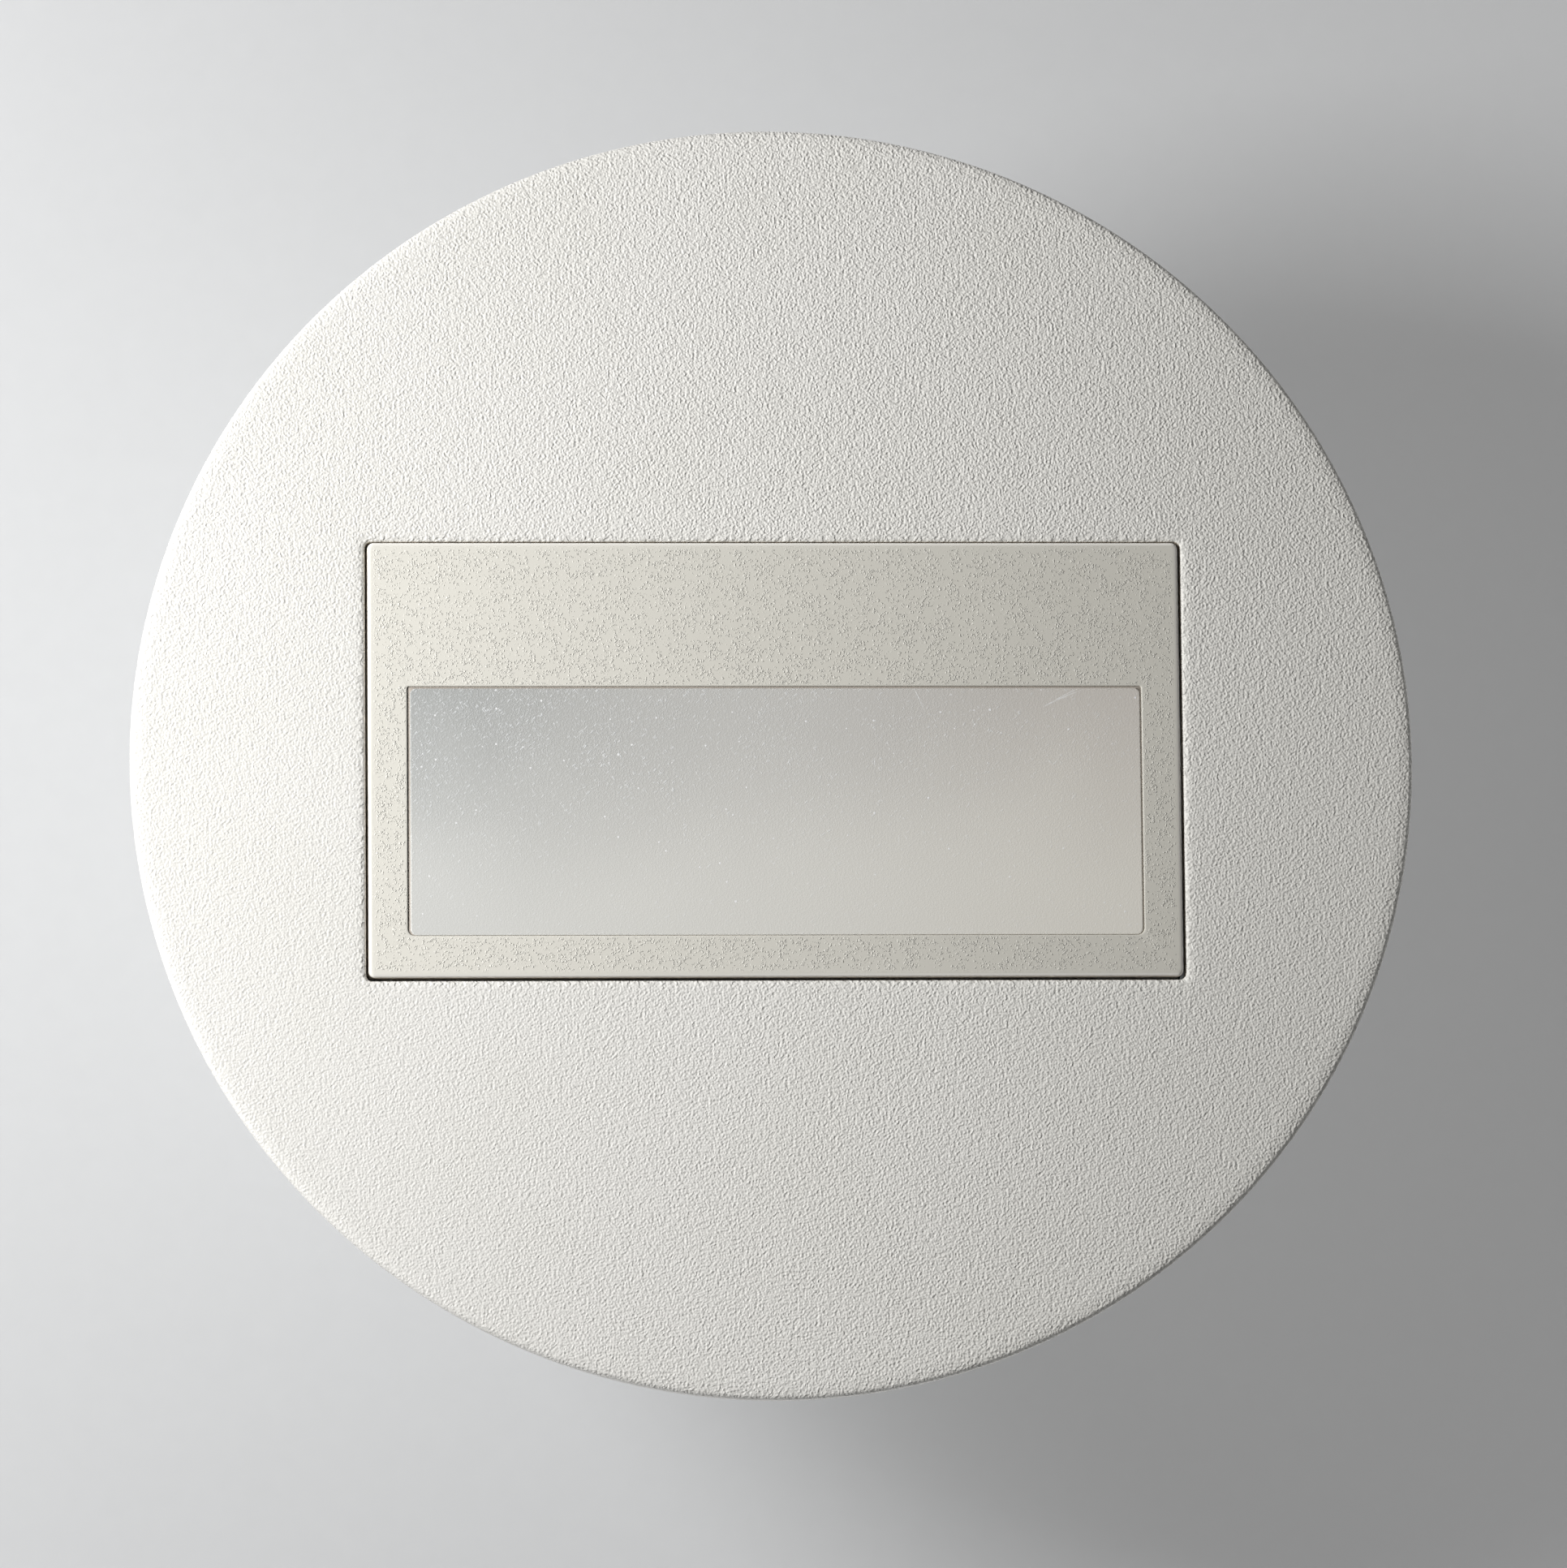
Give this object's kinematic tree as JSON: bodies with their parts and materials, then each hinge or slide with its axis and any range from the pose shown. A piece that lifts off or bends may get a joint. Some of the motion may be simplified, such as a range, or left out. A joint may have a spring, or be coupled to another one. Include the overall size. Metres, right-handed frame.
{
  "type": "led step light",
  "caption": "Round recessed step light: magnetic powder coated cover round a rectangular insert with a low frosted window, sprung fixing clips and a plastic can behind.",
  "frame": {"origin": "centre of the support plate's back face, midway between the two wall box screw slots", "axes": "+Z out of the wall towards the viewer, +Y up the wall with the window low, +X to the right"},
  "size_m": [0.08, 0.08, 0.0292],
  "materials": {
    "cover_paint": "white powder coat with a fine wrinkled grain",
    "bezel_paint": "smooth warm grey-white paint with sparse fine specks",
    "diffuser_frost": "frosted, translucent",
    "nickel": "nickel plated magnet",
    "zinc_plate": "bright zinc plated sheet",
    "seal_foam": "closed cell foam",
    "silicone_grey": "soft silicone",
    "reflector_white": "matt white moulding",
    "board_white": "white solder mask on aluminium",
    "led_phosphor": "yellow phosphor in a white cup",
    "aluminium": "milled",
    "screw_steel": "zinc plated",
    "can_plastic": "light grey moulding, fine spark texture",
    "board_green": "green solder mask",
    "chip_black": "black moulded package",
    "ferrite": "dark grey ferrite",
    "capacitor_sleeve": "dark shrink sleeve",
    "resistor_body": "matt lacquer",
    "film_box": "yellow box",
    "varistor_coat": "blue coating",
    "lead_red": "red insulation",
    "lead_black": "black insulation",
    "terminal_grey": "grey moulding",
    "button_white": "white moulding",
    "button_green": "green moulding",
    "contact_copper": "tinned copper alloy",
    "spring_steel": "zinc plated spring steel",
    "sleeve_silicone": "soft silicone"
  },
  "bodies": {
    "light_module": {"support_plate": "zinc_plate", "wall_seal": "seal_foam", "module_frame": "bezel_paint", "diffuser_gasket": "silicone_grey", "diffuser": "diffuser_frost", "light_box": "reflector_white", "led_board": "board_white", "led_chips": "led_phosphor", "led_board_screws": "screw_steel", "thermal_pad": "silicone_grey", "heat_spreader": "aluminium", "spreader_screws": "screw_steel", "housing_gasket": "silicone_grey", "rear_housing": "can_plastic", "module_screws": "screw_steel", "driver_board": "board_green", "driver_board_screws": "screw_steel", "bridge_rectifier": "chip_black", "driver_chip": "chip_black", "inductor": "ferrite", "chip_resistors": "chip_black", "smoothing_capacitor": "capacitor_sleeve", "fuse_resistor": "resistor_body", "film_capacitor": "film_box", "varistor": "varistor_coat", "led_lead_positive": "lead_red", "led_lead_negative": "lead_black", "terminal_block": "terminal_grey", "terminal_contacts": "contact_copper", "clip_pin_top": "spring_steel", "clip_pin_bottom": "spring_steel", "clip_spring_top": "spring_steel", "clip_spring_bottom": "spring_steel"},
    "cover": {"front_cover": "cover_paint", "cover_magnets": "nickel"},
    "clip_top": {"clip_arm_top": "spring_steel", "clip_sleeve_top": "sleeve_silicone"},
    "clip_bottom": {"clip_arm_bottom": "spring_steel", "clip_sleeve_bottom": "sleeve_silicone"},
    "button_line": {"terminal_button_line": "button_white"},
    "button_neutral": {"terminal_button_neutral": "button_white"},
    "button_earth": {"terminal_button_earth": "button_green"}
  },
  "joints": [
    {"name": "cover_pull", "type": "slide", "parent": "light_module", "child": "cover", "axis": [0, 0, 1], "range_m": [0, 0.015]},
    {"name": "clip_top_fold", "type": "hinge", "parent": "light_module", "child": "clip_top", "pos_m": [0, 0.0266, -0.008], "axis": [-1, 0, 0], "range_deg": [0, 110], "stiffness_Nm_per_rad": 0.02, "springref_deg": -17.19, "deforming": ["clip_spring_top"]},
    {"name": "clip_bottom_fold", "type": "hinge", "parent": "light_module", "child": "clip_bottom", "pos_m": [0, -0.0266, -0.008], "axis": [1, 0, 0], "range_deg": [0, 110], "stiffness_Nm_per_rad": 0.02, "springref_deg": -17.19, "deforming": ["clip_spring_bottom"]},
    {"name": "button_line_press", "type": "slide", "parent": "light_module", "child": "button_line", "axis": [0, 0, 1], "range_m": [0, 0.0012], "stiffness_N_per_m": 500, "springref_m": -0.001},
    {"name": "button_neutral_press", "type": "slide", "parent": "light_module", "child": "button_neutral", "axis": [0, 0, 1], "range_m": [0, 0.0012], "stiffness_N_per_m": 500, "springref_m": -0.001},
    {"name": "button_earth_press", "type": "slide", "parent": "light_module", "child": "button_earth", "axis": [0, 0, 1], "range_m": [0, 0.0012], "stiffness_N_per_m": 500, "springref_m": -0.001}
  ]
}
